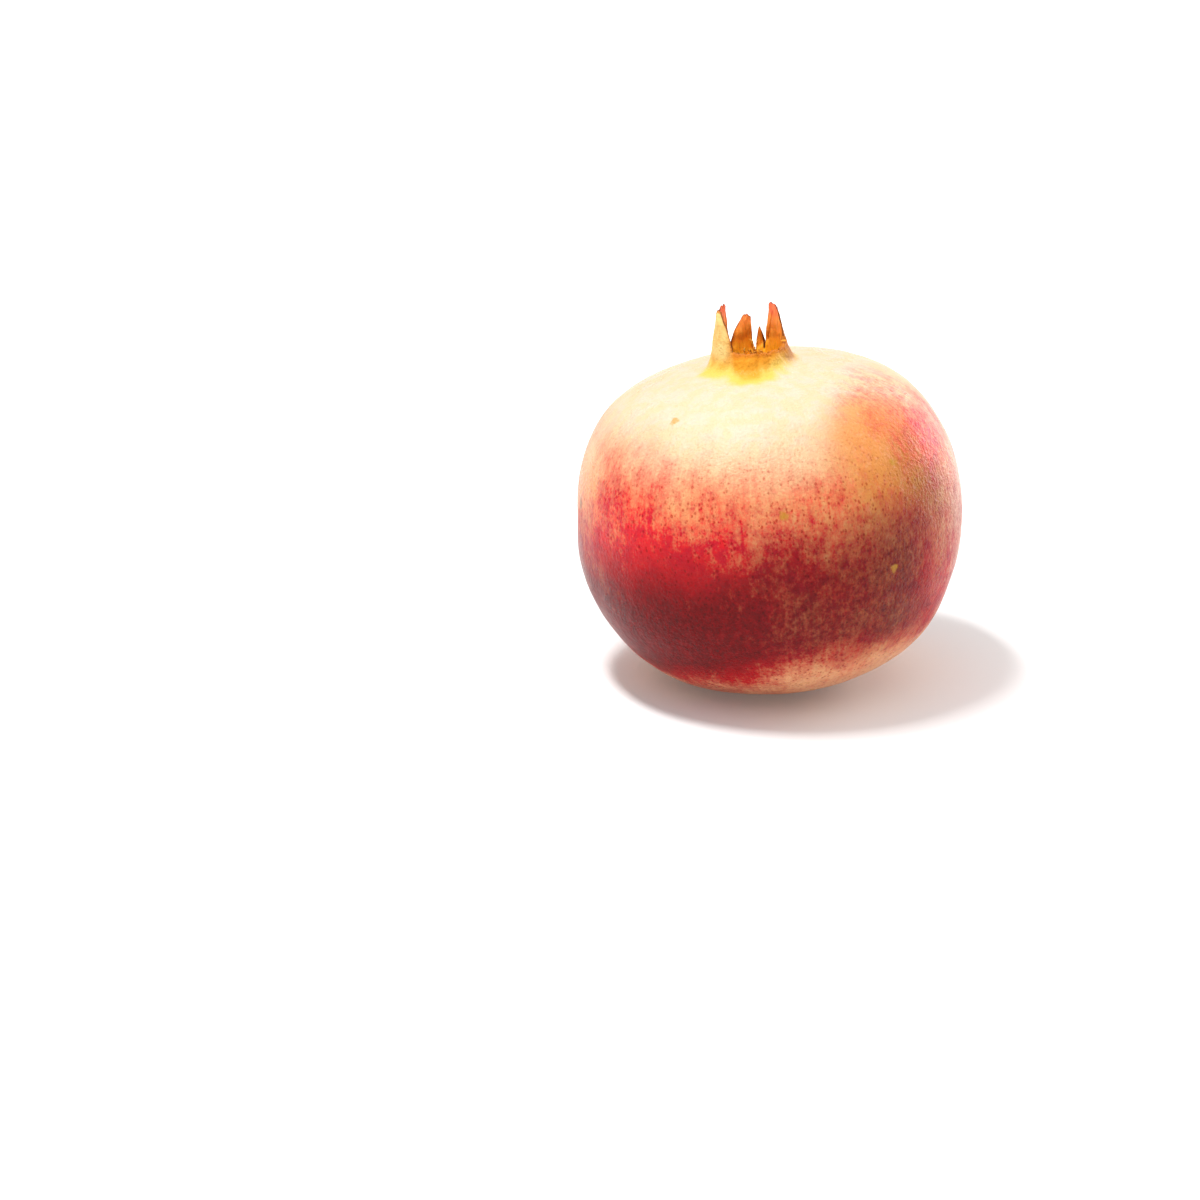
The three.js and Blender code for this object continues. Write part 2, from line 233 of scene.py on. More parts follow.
def calyx_point(azimuth, height, depth, lean=0, thinning=0):
    """A point on the calyx; depth is 0 on the outer face and 1 on the inner one."""
    outer = outer_wall(height) - seam_depth(azimuth, height)
    inner = inner_wall(height) + 0.7 * cleft_depth(azimuth, height)
    inner = min(inner, outer - 0.45)
    place = mix(depth, 0.5, thinning)
    radius = mix(outer, inner, place) + lean
    point = polar(radius, azimuth, cap_height(TOP, radius) + height)
    along = Vector((point.x, point.y, point.z * 0.15))
    ripple = 0.12 * rough(point, 2.6, 1) + 0.16 * rough(along, 1.3, 2) + 0.06 * rough(along, 0.6, 16)
    ripple *= smooth(0.2, 2.5, height)
    point += polar(ripple, azimuth, 0)
    return shifted(point)


class Shell:
    """A closed surface, gathered vertex by vertex and face by face, with its masks and finishes."""

    def __init__(self):
        self.points = []
        self.masks = []
        self.faces = []
        self.finishes = []
        self.finish = 0

    def add(self, point, **masks):
        self.points.append(point)
        self.masks.append([masks.get(name, 0) for name in MASKS])
        return len(self.points) - 1

    def quad(self, a, b, c, d):
        self.faces.append((a, b, c, d))
        self.finishes.append(self.finish)

    def strip(self, lower, upper, closed=False):
        """Joins two rows of equal length; seen from outside the first is the lower one."""
        last = len(lower) if closed else len(lower) - 1
        for i in range(last):
            after = (i + 1) % len(lower)
            self.quad(lower[i], lower[after], upper[after], upper[i])

    def stack(self, rings):
        for lower, upper in zip(rings, rings[1:]):
            self.strip(lower, upper, closed=True)

    def cap(self, ring, middle, up):
        for i, vertex in enumerate(ring):
            after = ring[(i + 1) % len(ring)]
            self.faces.append((vertex, after, middle) if up else (after, vertex, middle))
            self.finishes.append(self.finish)

    def piece(self, name, materials):
        """The surface as a smooth-shaded object in metres."""
        mesh = bpy.data.meshes.new(name)
        mesh.from_pydata([point * MM for point in self.points], [], self.faces)
        for index, mask in enumerate(MASKS):
            attribute = mesh.attributes.new(mask, "FLOAT", "POINT")
            attribute.data.foreach_set("value", [masks[index] for masks in self.masks])
        for material in materials:
            mesh.materials.append(material)
        mesh.polygons.foreach_set("material_index", self.finishes)
        mesh.polygons.foreach_set("use_smooth", [True] * len(mesh.polygons))
        mesh.update()
        piece = bpy.data.objects.new(name, mesh)
        bpy.context.scene.collection.objects.link(piece)
        return piece


def rim_columns():
    """Azimuth and rim height of every mesh column of the calyx."""
    columns = []
    for sector in SECTORS:
        steps = sector["steps"] * FINENESS
        for i in range(steps):
            share = i / steps
            azimuth = mix(sector["start"], sector["end"], share)
            sag = sector.get("sag", 0) * math.sin(math.pi * share)
            ends = math.sin(math.pi * share) ** 0.5
            spot = Vector((azimuth, 0, 0))
            torn = 0.65 * rough(spot, 9, 3) + 0.5 * rough(spot, 3.1, 4) + 0.3 * rough(spot, 1.3, 5)
            low = mix(*sector["low"], share) - sag + sector.get("ragged", 0) * torn * ends
            columns.append((azimuth, low))
    return columns


def even_azimuth(column):
    return SECTORS[0]["start"] + 360 * column / COLUMNS


def stalk_rings(shell):
    """Rings of the stalk and its dimple, from the cut end outwards."""
    skin = -cap_height(BOTTOM, DIMPLE_RADIUS)
    floor = skin + DIMPLE_DEPTH
    section = [
        (STALK_RADIUS * 0.3, floor - STALK_RISE * 0.9, 1),
        (STALK_RADIUS * 0.6, floor - STALK_RISE * 0.93, 1),
        (STALK_RADIUS * 0.84, floor - STALK_RISE * 1.02, 1),
        (STALK_RADIUS * 0.95, floor - STALK_RISE * 0.94, 1),
        (STALK_RADIUS * 1.0, floor - STALK_RISE * 0.7, 1),
        (STALK_RADIUS * 0.98, floor - STALK_RISE * 0.35, 1),
        (STALK_RADIUS * 1.04, floor - STALK_RISE * 0.05, 1),
        (mix(STALK_RADIUS, DIMPLE_RADIUS, 0.14), mix(floor, skin, 0.0), 0.9),
        (mix(STALK_RADIUS, DIMPLE_RADIUS, 0.28), mix(floor, skin, 0.05), 0.75),
        (mix(STALK_RADIUS, DIMPLE_RADIUS, 0.42), mix(floor, skin, 0.15), 0.55),
        (mix(STALK_RADIUS, DIMPLE_RADIUS, 0.56), mix(floor, skin, 0.31), 0.35),
        (mix(STALK_RADIUS, DIMPLE_RADIUS, 0.7), mix(floor, skin, 0.52), 0.2),
        (mix(STALK_RADIUS, DIMPLE_RADIUS, 0.85), mix(floor, skin, 0.78), 0.08),
    ]
    rings = []
    for radius, height, cork in section:
        ring = []
        for column in range(COLUMNS):
            azimuth = even_azimuth(column)
            spot = polar(radius, azimuth, height)
            edge = cork * (0.16 * rough(spot, 1.6, 6) + 0.07 * rough(spot, 0.6, 7))
            ring.append(shell.add(polar(radius + edge, azimuth, height + edge), cork=cork))
        rings.append(ring)
    middle = shell.add(Vector((0, 0, floor - STALK_RISE * 0.88)), cork=1)
    shell.cap(rings[0], middle, up=False)
    return rings


def skin_relief(point, angle):
    """Height of the skin's low relief at a point of the body."""
    relief = 0.17 * rough(point, 13, 8) + 0.08 * rough(point, 5.5, 9) + 0.028 * rough(point, 2.1, 10)
    return relief * smooth(0.12, 0.5, angle)


def body_rings(shell):
    """Rings of the body, from the edge of the dimple up to the foot of the calyx."""
    first = math.atan2(DIMPLE_RADIUS, cap_height(BOTTOM, DIMPLE_RADIUS))
    last = math.pi - math.atan2(FOOT_RADIUS, cap_height(TOP, FOOT_RADIUS))
    rings = []
    for row in range(BODY_ROWS + 1):
        angle = mix(first, last, row / BODY_ROWS)
        fade = 1 - smooth(0.97, 1, row / BODY_ROWS)
        ring = []
        for column in range(COLUMNS):
            azimuth = even_azimuth(column)
            reach = body_reach(angle) * rib_scale(angle, azimuth)
            point = polar(reach * math.sin(angle), azimuth, -reach * math.cos(angle))
            point += point.normalized() * skin_relief(point, angle) * fade
            ring.append(shell.add(point))
        rings.append(ring)
    return rings


def wall_rings(shell, columns):
    """Rings of the calyx's outer wall, from above its foot to the rim."""
    rings = []
    for row in range(1, WALL_ROWS + 1):
        share = row / WALL_ROWS
        ring = []
        for column, (rim_azimuth, low) in enumerate(columns):
            azimuth = mix(even_azimuth(column), rim_azimuth, share)
            height = low * share**WALL_CROWDING
            point = calyx_point(azimuth, height, 0, 0, rim_thinning(rim_azimuth, low - height))
            edge = edge_of_rim(rim_azimuth, low - height)
            ring.append(shell.add(point, rise=height / RISE_SCALE, edge=edge))
        rings.append(ring)
    return rings


def torn_share(azimuth):
    """1 where the sepals have broken off, and 0 where they are whole."""
    return smooth(238, 246, azimuth) * (1 - smooth(358, 368, azimuth))


def edge_of_rim(azimuth, depth):
    """How near the torn rim is."""
    dry = mix(0.35, 0.6, smooth(320, 350, azimuth))
    return dry * torn_share(azimuth) * (1 - smooth(0.1, 1.2, depth))


def rim_thinning(azimuth, depth):
    """How much the wall thins towards the torn rim."""
    return 0.5 * torn_share(azimuth) * (1 - smooth(0, 2, depth))


def cup_rings(shell, columns):
    """Rings of the cup inside the calyx, from its floor up to the rim."""
    floor = TOP[0] - CUP_DEPTH
    section = [
        (INNER_RADIUS * 0.55, floor),
        (INNER_RADIUS * 0.88, floor + CUP_DEPTH * 0.16),
        (INNER_RADIUS, floor + CUP_DEPTH * 0.5),
        (INNER_RADIUS, floor + CUP_DEPTH * 0.75),
    ]
    rings = []
    for radius, height in section:
        ring = []
        for azimuth, _ in columns:
            ring.append(shell.add(shifted(polar(radius, azimuth, height)), cleft=0.3))
        rings.append(ring)
    middle = shell.add(shifted(Vector((0, 0, floor))))
    shell.cap(rings[0], middle, up=True)
    for row in range(CUP_ROWS + 1):
        share = row / CUP_ROWS
        ring = []
        for azimuth, low in columns:
            height = low * share
            point = calyx_point(azimuth, height, 1, 0, rim_thinning(azimuth, low - height))
            if row == 0:
                point = shifted(polar(INNER_RADIUS, azimuth, TOP[0]))
            ring.append(
                shell.add(
                    point,
                    rise=height / RISE_SCALE,
                    cleft=cleft_depth(azimuth, height),
                    edge=edge_of_rim(azimuth, low - height),
                )
            )
        rings.append(ring)
    return rings


def margin_wave(spot):
    """How far a lobe's margin strays, in degrees of azimuth."""
    return 0.9 * rough(spot, 3, 11) + 0.5 * rough(spot, 0.9, 12)


def lobe_face(shell, lobe, depth, seed):
    """Rows of one face of a lobe, from above the rim to the tip."""
    steps = lobe["steps"] * FINENESS
    rows = []
    for row in range(1, LOBE_ROWS + 1):
        rise = row / LOBE_ROWS
        bulge = math.sin(math.pi * rise)
        tip_start = lobe["tip"] - lobe["width"] / 2
        tip_end = lobe["tip"] + lobe["width"] / 2
        start = mix(lobe["start"], tip_start, rise ** lobe["powers"][0]) - lobe["bow"] * bulge
        end = mix(lobe["end"], tip_end, rise ** lobe["powers"][1])
        wave = smooth(0, 0.25, rise)
        start += wave * margin_wave(Vector((rise * RISE_SCALE, seed, 0)))
        end += wave * margin_wave(Vector((rise * RISE_SCALE, seed, 9)))
        ring = []
        for column in range(steps + 1):
            share = column / steps
            side = 2 * share - 1
            crest = lobe["height"] + lobe["slant"] * side - TIP_ROUNDING * side**2
            crest_spot = Vector((share * lobe["width"], seed, 5))
            crest += 0.4 * rough(crest_spot, 2.2, 13)
            crest += 0.25 * rough(crest_spot, 0.9, 14)
            foot = mix(*lobe["low"], share)
            height = mix(foot, crest, rise)
            azimuth = mix(start, end, share)
            from_margin = min(share, 1 - share) * (end - start) * math.radians(TUBE_RADIUS)
            from_edge = min(from_margin, crest - height)
            above_foot = height - foot
            thinning = (1 - smooth(0, 2, from_edge)) * smooth(0.1, 1.6, above_foot)
            curl = 0.28 * rough(Vector((azimuth * 0.15, height * 0.6, seed)), 1.6, 15) * rise
            keel = 0.3 * math.exp(-(((share - 0.5) / 0.13) ** 2)) * (1 - depth) * rise
            lean = lobe["lean"] * rise**LEAN_POWER + curl + keel
            point = calyx_point(azimuth, height, depth, lean, 0.68 * thinning)
            margin_edge = 0.9 * (1 - smooth(0, 0.35, from_edge))
            edge = max(margin_edge, 1 - smooth(0.05, 0.7, crest - height))
            edge *= smooth(0, 1.5, above_foot)
            cleft = cleft_depth(azimuth, height) * depth
            ring.append(shell.add(point, rise=height / RISE_SCALE, edge=edge, cleft=cleft))
        rows.append(ring)
    return rows


def add_lobe(shell, lobe, outer_foot, inner_foot, seed):
    """One lobe on its stretch of the rim: both faces, both margins and the tip."""
    outer = [outer_foot] + lobe_face(shell, lobe, 0, seed)
    inner = [inner_foot] + lobe_face(shell, lobe, 1, seed)
    for row in range(LOBE_ROWS):
        shell.finish = 0
        shell.strip(outer[row], outer[row + 1])
        shell.quad(inner[row][0], outer[row][0], outer[row + 1][0], inner[row + 1][0])
        shell.quad(outer[row][-1], inner[row][-1], inner[row + 1][-1], outer[row + 1][-1])
        shell.finish = 1
        shell.strip(inner[row + 1], inner[row])
    shell.strip(outer[-1], inner[-1])


def add_rim(shell, outer_rim, inner_rim):
    start = 0
    for number, sector in enumerate(SECTORS):
        steps = sector["steps"] * FINENESS
        span = [(start + i) % COLUMNS for i in range(steps + 1)]
        outer_foot = [outer_rim[column] for column in span]
        inner_foot = [inner_rim[column] for column in span]
        if "tip" in sector:
            add_lobe(shell, sector, outer_foot, inner_foot, number * 20)
        else:
            shell.finish = 1
            shell.strip(outer_foot, inner_foot)
        start += steps


def rind_shell():
    """The whole fruit as one closed surface about its own axis."""
    shell = Shell()
    columns = rim_columns()
    shell.finish = 2
    stalk = stalk_rings(shell)
    shell.stack(stalk[:8])
    shell.finish = 0
    outside = stalk[7:] + body_rings(shell) + wall_rings(shell, columns)
    shell.stack(outside)
    shell.finish = 1
    cup = cup_rings(shell, columns)
    shell.stack(cup[::-1])
    add_rim(shell, outside[-1], cup[-1])
    return shell


# Rest pose


def lean_about_centre():
    return Matrix.Rotation(-LEAN, 4, "Y")


def rest_shift(shell):
    """Where the body's centre goes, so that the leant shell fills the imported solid's box."""
    leant = [lean_about_centre() @ point for point in shell.points]
    low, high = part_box("fruit")
    middle_x = (min(point.x for point in leant) + max(point.x for point in leant)) / 2
    middle_y = (min(point.y for point in leant) + max(point.y for point in leant)) / 2
    level = min(point.z for point in leant) + REST_DEPTH
    centre = (low + high) / 2 / MM
    return Vector((centre.x - middle_x, centre.y - middle_y, -level))


def place(shell, shift):
    """Leans and lowers a shell into its rest pose, and presses flat what would pass the floor."""
    for index, point in enumerate(shell.points):
        point = lean_about_centre() @ point + shift
        point.z = max(point.z, 0)
        shell.points[index] = point


# The dried stamens

# The dish that they stand on, as radius and height over the cap, from below round to above
DISH = [
    (0, -3.7),
    (4, -3.6),
    (6.2, -2.7),
    (7.3, -1.6),
    (7.35, 0.2),
    (6.9, 0.35),
    (6.4, 0.2),
    (6.3, -0.6),
    (6.3, -1.3),
    (5.2, -2),
    (3, -2.45),
    (0, -2.6),
]
DISH_SEGMENTS = 72
STAMEN_COUNT = 300

# A few longer ones stand in the slit between two lobes: its azimuth, half its width and their count
SLIT = (85, 6)
SLIT_STAMENS = 5

STAMEN_SIDES = 5
STAMEN_STEPS = 7
SEED = 20711


def tube(shell, path, radii, sides):
    """A closed round thread along a path, with a radius at each point."""
    rings = []
    forward = (path[-1] - path[0]).normalized()
    side = forward.cross(Vector((0.3, 0.9, 0.2))).normalized()
    up = forward.cross(side)
    for point, radius in zip(path, radii):
        ring = []
        for corner in range(sides):
            angle = math.tau * corner / sides
            offset = side * math.cos(angle) + up * math.sin(angle)
            ring.append(shell.add(point + offset * radius))
        rings.append(ring)
    shell.stack(rings)
    shell.cap(rings[0], shell.add(path[0]), up=False)
    shell.cap(rings[-1], shell.add(path[-1] + forward * radii[-1] * 0.5), up=True)


def add_dish(shell):
    """The uneven ring of tissue that the stamens grow from."""
    rings = []
    for radius, height in DISH[1:-1]:
        ring = []
        for i in range(DISH_SEGMENTS):
            azimuth = 360 * i / DISH_SEGMENTS
            spot = polar(radius, azimuth, TOP[0] + height)
            spot += Vector((0, 0, 0.22 * rough(spot, 1.2, 20)))
            spot += polar(0.12 * rough(spot, 0.9, 21) - 0.06, azimuth, 0)
            ring.append(shell.add(spot))
        rings.append(ring)
    shell.stack(rings)
    shell.cap(rings[0], shell.add(Vector((0, 0, TOP[0] + DISH[0][1]))), up=False)
    shell.cap(rings[-1], shell.add(Vector((0, 0, TOP[0] + DISH[-1][1]))), up=True)


def add_stamen(shell, draw, in_slit=False):
    """One dried thread from the dish's wall, curled up and inwards, with its shrunken anther."""
    azimuth = draw.uniform(0, 360)
    root_height = draw.uniform(-2.2, -0.4)
    rise = draw.uniform(1.2, 2.4)
    tip_radius = mix(6.7, 2.2, draw.random() ** 2)
    if in_slit:
        azimuth = SLIT[0] + draw.uniform(-SLIT[1], SLIT[1])
        rise = draw.uniform(3.6, 5.6)
        tip_radius = 6.6
    sweep = draw.uniform(-6, 6)
    curl = draw.uniform(-0.5, 0.5)
    path = []
    for step in range(STAMEN_STEPS + 1):
        share = step / STAMEN_STEPS
        radius = mix(6.9, tip_radius, share**1.3)
        lift = 0.7 * share + 0.3 * math.sin(math.pi / 2 * share)
        angle = azimuth + sweep * share + 4 * curl * math.sin(math.pi * 2 * share)
        path.append(polar(radius, angle, TOP[0] + root_height + rise * lift))
    thickness = draw.uniform(0.1, 0.15)
    radii = [thickness * 1.2] + [thickness] * (STAMEN_STEPS - 1) + [thickness * 0.9]
    shell.finish = 0
    tube(shell, path, radii, STAMEN_SIDES)
    shell.finish = 1
    end = path[-1]
    heading = (path[-1] - path[-2]).normalized()
    wide = draw.uniform(0.16, 0.24)
    anther = [end + heading * along for along in (-0.2, 0.05, 0.4, 0.75, 0.95)]
    tube(shell, anther, [wide * 0.4, wide * 0.9, wide, wide * 0.8, wide * 0.35], 6)


def add_style(shell):
    """The dried style in the middle with its knobbed stigma."""
    shell.finish = 0
    heights = [-2.9, -2.2, -1.4, -0.6, 0.2, 0.7, 1, 1.3]
    radii = [1, 0.75, 0.66, 0.62, 0.6, 0.9, 1.02, 0.7]
    path = [Vector((0.25 * math.sin(h), 0.2 * math.cos(h), TOP[0] + h)) for h in heights]
    tube(shell, path, radii, 10)


def stamens_shell():
    """Dish, stamens and style as one surface, on the axis of the shifted tube."""
    shell = Shell()
    draw = random.Random(SEED)
    add_dish(shell)
    for _ in range(STAMEN_COUNT):
        add_stamen(shell, draw)
    for _ in range(SLIT_STAMENS):
        add_stamen(shell, draw, in_slit=True)
    add_style(shell)
    for point in shell.points:
        point.x += SHIFT
    return shell


# Materials


def colour(code):
    """A hex colour as linear light."""
    channels = [int(code[i : i + 2], 16) / 255 for i in (0, 2, 4)]
    linear = [c / 12.92 if c <= 0.04045 else ((c + 0.055) / 1.055) ** 2.4 for c in channels]
    return (*linear, 1)


class Graph:
    """A material's nodes, with a short call for each kind."""

    def __init__(self, name):
        self.material = bpy.data.materials.new(name)
        self.material.use_nodes = True
        self.tree = self.material.node_tree
        self.shader = self.tree.nodes["Principled BSDF"]

    def feed(self, socket, value):
        if isinstance(value, bpy.types.NodeSocket):
            self.tree.links.new(value, socket)
        else:
            socket.default_value = value

    def node(self, kind, inputs, **settings):
        node = self.tree.nodes.new(kind)
        for name, value in settings.items():
            setattr(node, name, value)
        for key, value in inputs.items():
            self.feed(node.inputs[key], value)
        return node

    def mask(self, name):
        return self.node("ShaderNodeAttribute", {}, attribute_name=name).outputs["Fac"]

    def math(self, operation, *values):
        inputs = dict(enumerate(values))
        return self.node("ShaderNodeMath", inputs, operation=operation).outputs[0]

    def vector(self, operation, *values):
        inputs = dict(enumerate(values))
        node = self.node("ShaderNodeVectorMath", inputs, operation=operation)
        return node.outputs["Value" if operation in ("DOT_PRODUCT", "LENGTH") else "Vector"]

    def scaled(self, vector, factor):
        node = self.node("ShaderNodeVectorMath", {0: vector, "Scale": factor}, operation="SCALE")
        return node.outputs["Vector"]

    def between(self, value, low, high, start=0.0, end=1.0):
        """A soft step from start to end as the value goes from low to high."""
        inputs = {"Value": value, "From Min": low, "From Max": high, "To Min": start, "To Max": end}
        node = self.node("ShaderNodeMapRange", inputs, interpolation_type="SMOOTHSTEP")
        return node.outputs["Result"]

    def linear(self, value, low, high, start=0.0, end=1.0):
        """A straight ramp from start to end as the value goes from low to high."""
        inputs = {"Value": value, "From Min": low, "From Max": high, "To Min": start, "To Max": end}
        return self.node("ShaderNodeMapRange", inputs).outputs["Result"]

    def noise(self, place, size, detail=2.0, roughness=0.5, output="Fac"):
        """Noise, mostly from 0.3 to 0.7, with lumps of a size in the place's units."""
        inputs = {"Vector": place, "Scale": 1 / size, "Detail": detail, "Roughness": roughness}
        return self.node("ShaderNodeTexNoise", inputs).outputs[output]

    def dots(self, place, spacing):
        """Distance to the nearest of scattered points, and a random number for each point."""
        node = self.node("ShaderNodeTexVoronoi", {"Vector": place, "Scale": 1 / spacing})
        length = self.vector("LENGTH", node.outputs["Color"])
        share = self.math("FRACT", self.math("MULTIPLY", length, 7.0))
        return node.outputs["Distance"], share

    def mix(self, factor, first, second, blend="MIX"):
        node = self.node("ShaderNodeMix", {}, data_type="RGBA", blend_type=blend)
        self.feed(node.inputs["Factor"], factor)
        for key, value in (("A", first), ("B", second)):
            socket = next(s for s in node.inputs if s.name == key and s.type == "RGBA")
            self.feed(socket, value)
        return next(s for s in node.outputs if s.type == "RGBA")

    def bump(self, height, strength, distance, normal=None):
        inputs = {"Height": height, "Strength": strength, "Distance": distance}
        if normal is not None:
            inputs["Normal"] = normal
        return self.node("ShaderNodeBump", inputs).outputs["Normal"]

    def finish(self, base, roughness, normal, **settings):
        self.feed(self.shader.inputs["Base Color"], base)
        self.feed(self.shader.inputs["Roughness"], roughness)
        self.feed(self.shader.inputs["Normal"], normal)
        for key, value in settings.items():
            self.shader.inputs[key.replace("_", " ")].default_value = value
        return self.material


def axis_place(graph, shift):
    """Millimetres about the fruit's own axis, as a vector."""
    upright = Euler((0, LEAN, 0))
    offset = -(upright.to_matrix() @ shift)
    place = graph.node("ShaderNodeTexCoord", {}).outputs["Object"]
    inputs = {
        "Vector": place,
        "Location": offset,
        "Rotation": upright,
        "Scale": (1 / MM, 1 / MM, 1 / MM),
    }
    return graph.node("ShaderNodeMapping", inputs, vector_type="POINT").outputs["Vector"]


def towards(azimuth, from_crown):
    """Unit vector at an azimuth and a polar angle from the crown."""
    angle = math.radians(from_crown)
    return polar(math.sin(angle), azimuth, math.cos(angle))


def patch(graph, direction, azimuth, from_crown, reach, core=0.2):
    """1 near a place on the skin and 0 beyond its reach in degrees."""
    aligned = graph.vector("DOT_PRODUCT", direction, towards(azimuth, from_crown))
    low = math.cos(math.radians(reach))
    high = math.cos(math.radians(reach * core))
    return graph.between(aligned, low, high)


def total(graph, *terms):
    """Sum of (factor, value) pairs."""
    result = 0.0
    for factor, value in terms:
        result = graph.math("MULTIPLY_ADD", value, factor, result)
    return result


# Where the blush is stronger or weaker than its belt: by how much, then azimuth, polar angle from
# the crown and reach in degrees
BLUSH_PATCHES = [
    (0.16, 218, 70, 30),
    (0.48, 240, 112, 42),
    (0.32, 337, 53, 26),
    (0.22, 346, 66, 22),
    (0.3, 232, 128, 30),
    (-0.1, 288, 106, 38),
    (-0.3, 314, 76, 30),
    # The next two weaken the blush along the right and left edges seen from the front: painted
    # reflection of the pale surroundings
    (-0.5, 356, 90, 32),
    (-0.5, 192, 76, 20),
    (-0.35, 120, 82, 50),
    (-0.25, 30, 96, 40),
]

# Russet spots on the skin: azimuth, polar angle from the crown and reach in degrees
RUSSET_SPOTS = [
    (232, 45, 1.7),
    (276, 74, 1.7),
    (315, 66, 1.7),
    (309, 96, 1.4),
    (40, 70, 1.8),
    (150, 88, 1.5),
]


def rind_material(shift):
    """Leathery skin: pale ground, blush, painted shade on the lower half, dots, spots, calyx and
    cork.
    """
    g = Graph("pomegranate_rind")
    place_mm = axis_place(g, shift)
    drift = g.vector("SUBTRACT", g.noise(place_mm, 14, 3, 0.55, "Color"), (0.5, 0.5, 0.5))
    drifted = g.vector("ADD", place_mm, g.scaled(drift, 9.0))
    direction = g.vector("NORMALIZE", drifted)
    down = g.math("MULTIPLY", g.node("ShaderNodeSeparateXYZ", {0: direction}).outputs["Z"], -1.0)
    split = g.node("ShaderNodeSeparateXYZ", {0: place_mm})

    # Meridional streaks: noise stretched along the way from crown to stalk
    flat = g.vector("MULTIPLY", place_mm, (1, 1, 0))
    around = g.scaled(g.vector("NORMALIZE", flat), 48.0)
    streak_place = g.vector("ADD", around, g.vector("MULTIPLY", place_mm, (0, 0, 0.09)))
    streaks = g.noise(streak_place, 1.1, 3, 0.6)

    clouds = g.noise(place_mm, 11, 3, 0.5)
    mottle = g.noise(place_mm, 4.2, 5, 0.66)
    upright = g.vector("MULTIPLY", place_mm, (1, 1, 0.75))
    grains = g.noise(g.vector("ADD", upright, (9, 4, 21)), 1.5, 4, 0.75)
    fine = g.noise(g.vector("ADD", upright, (3, 41, 7)), 0.6, 3, 0.7)
    dot_distance, dot_share = g.dots(g.vector("ADD", upright, g.scaled(drift, 1.0)), 1.0)
    dot_edge = g.math("MULTIPLY_ADD", dot_share, -0.24, dot_distance)
    dots = g.math("MULTIPLY", g.between(dot_edge, 0.24, -0.02), g.between(fine, 0.3, 0.6, 0.3, 1.0))

    # The ground under the blush: cream round the crown, peach and ochre below
    cap = g.mix(g.between(mottle, 0.4, 0.6), colour("D6BE98"), colour("DCC2AA"))
    ground = g.mix(g.between(down, -0.74, -0.46), cap, colour("DCB48A"))
    ground = g.mix(g.between(down, -0.54, -0.3), ground, colour("E09A66"))
    ground = g.mix(g.between(down, 0.42, 0.66), ground, colour("EEAC7C"))
    orange = g.math("MULTIPLY", patch(g, direction, 316, 62, 26), 0.85)
    ground = g.mix(orange, ground, colour("DC843C"))
    khaki = patch(g, direction, 318, 88, 46)
    khaki = g.math("MULTIPLY", khaki, g.between(mottle, 0.36, 0.6, 0.35, 1.0))
    ground = g.mix(g.math("MULTIPLY", khaki, 0.65), ground, colour("D08C44"))
    ochre = g.math("MULTIPLY", patch(g, direction, 326, 70, 17), 0.75)
    ground = g.mix(ochre, ground, colour("B46E2C"))
    # Painted reflection: a pale band down the right edge, where the pale surroundings would reflect
    # at a grazing angle
    painted_rim_reflection = patch(g, direction, 2, 98, 34, 0.35)
    ground = g.mix(g.math("MULTIPLY", painted_rim_reflection, 0.85), ground, colour("F0CCB0"))
    ground = g.mix(g.between(grains, 0.5, 0.74, 0.0, 0.4), ground, colour("E8C896"))

    # The blush: a belt that is full on the left and broken on the right
    variation = total(
        g,
        (1.1, g.math("SUBTRACT", clouds, 0.5)),
        (1.3, g.math("SUBTRACT", mottle, 0.5)),
        (1.4, g.math("SUBTRACT", grains, 0.5)),
        (1.1, g.math("SUBTRACT", fine, 0.5)),
        (0.75, g.math("SUBTRACT", streaks, 0.5)),
    )
    reach = g.linear(down, -0.7, -0.3, 0.12, 1.0)
    reach = g.math("MAXIMUM", reach, patch(g, direction, 335, 54, 34))
    belt = g.math("MULTIPLY", g.linear(down, -0.62, -0.04), g.between(down, 0.76, 0.42))
    patches = [(factor, patch(g, direction, *where)) for factor, *where in BLUSH_PATCHES]
    amount = total(
        g,
        (0.92, belt),
        *patches,
        (reach, variation),
    )
    blush = g.mix(g.between(mottle, 0.4, 0.62), colour("E41E26"), colour("C8142A"))
    blush = g.mix(patch(g, direction, 236, 120, 44), blush, colour("BC0614"))
    skin = g.mix(g.linear(amount, 0.0, 1.0), ground, blush)

    # Painted shade: the lower half is darkened as if lit from above, and the darkening fades again
    # underneath
    shade_starts_lower = g.math("MULTIPLY", patch(g, direction, 222, 96, 52), 0.16)
    shade_starts_higher = g.math("MULTIPLY", patch(g, direction, 322, 84, 30), 0.06)
    lower = g.math("ADD", g.math("SUBTRACT", down, shade_starts_lower), shade_starts_higher)
    painted_shade = g.math("MULTIPLY", g.between(lower, -0.36, 0.12), g.between(lower, 0.66, 0.4))
    # Painted reflection: the painted shade is lifted along the right edge, where the pale
    # surroundings would reflect at a grazing angle
    painted_rim_light = g.math("MULTIPLY", patch(g, direction, 350, 100, 36), 0.6)
    painted_shade = g.math("MULTIPLY", painted_shade, g.math("SUBTRACT", 1.0, painted_rim_light))
    painted_shade = g.math("MULTIPLY", painted_shade, g.between(grains, 0.35, 0.6, 0.78, 1.0))
    skin = g.mix(painted_shade, skin, colour("8C726A"), "MULTIPLY")

    # Fine dark red dots, and a few tan ones where the skin is pale
    speckle = g.math("MULTIPLY", dots, g.between(down, -0.72, -0.2, 0.08, 0.85))
    skin = g.mix(speckle, skin, colour("C0604E"), "MULTIPLY")

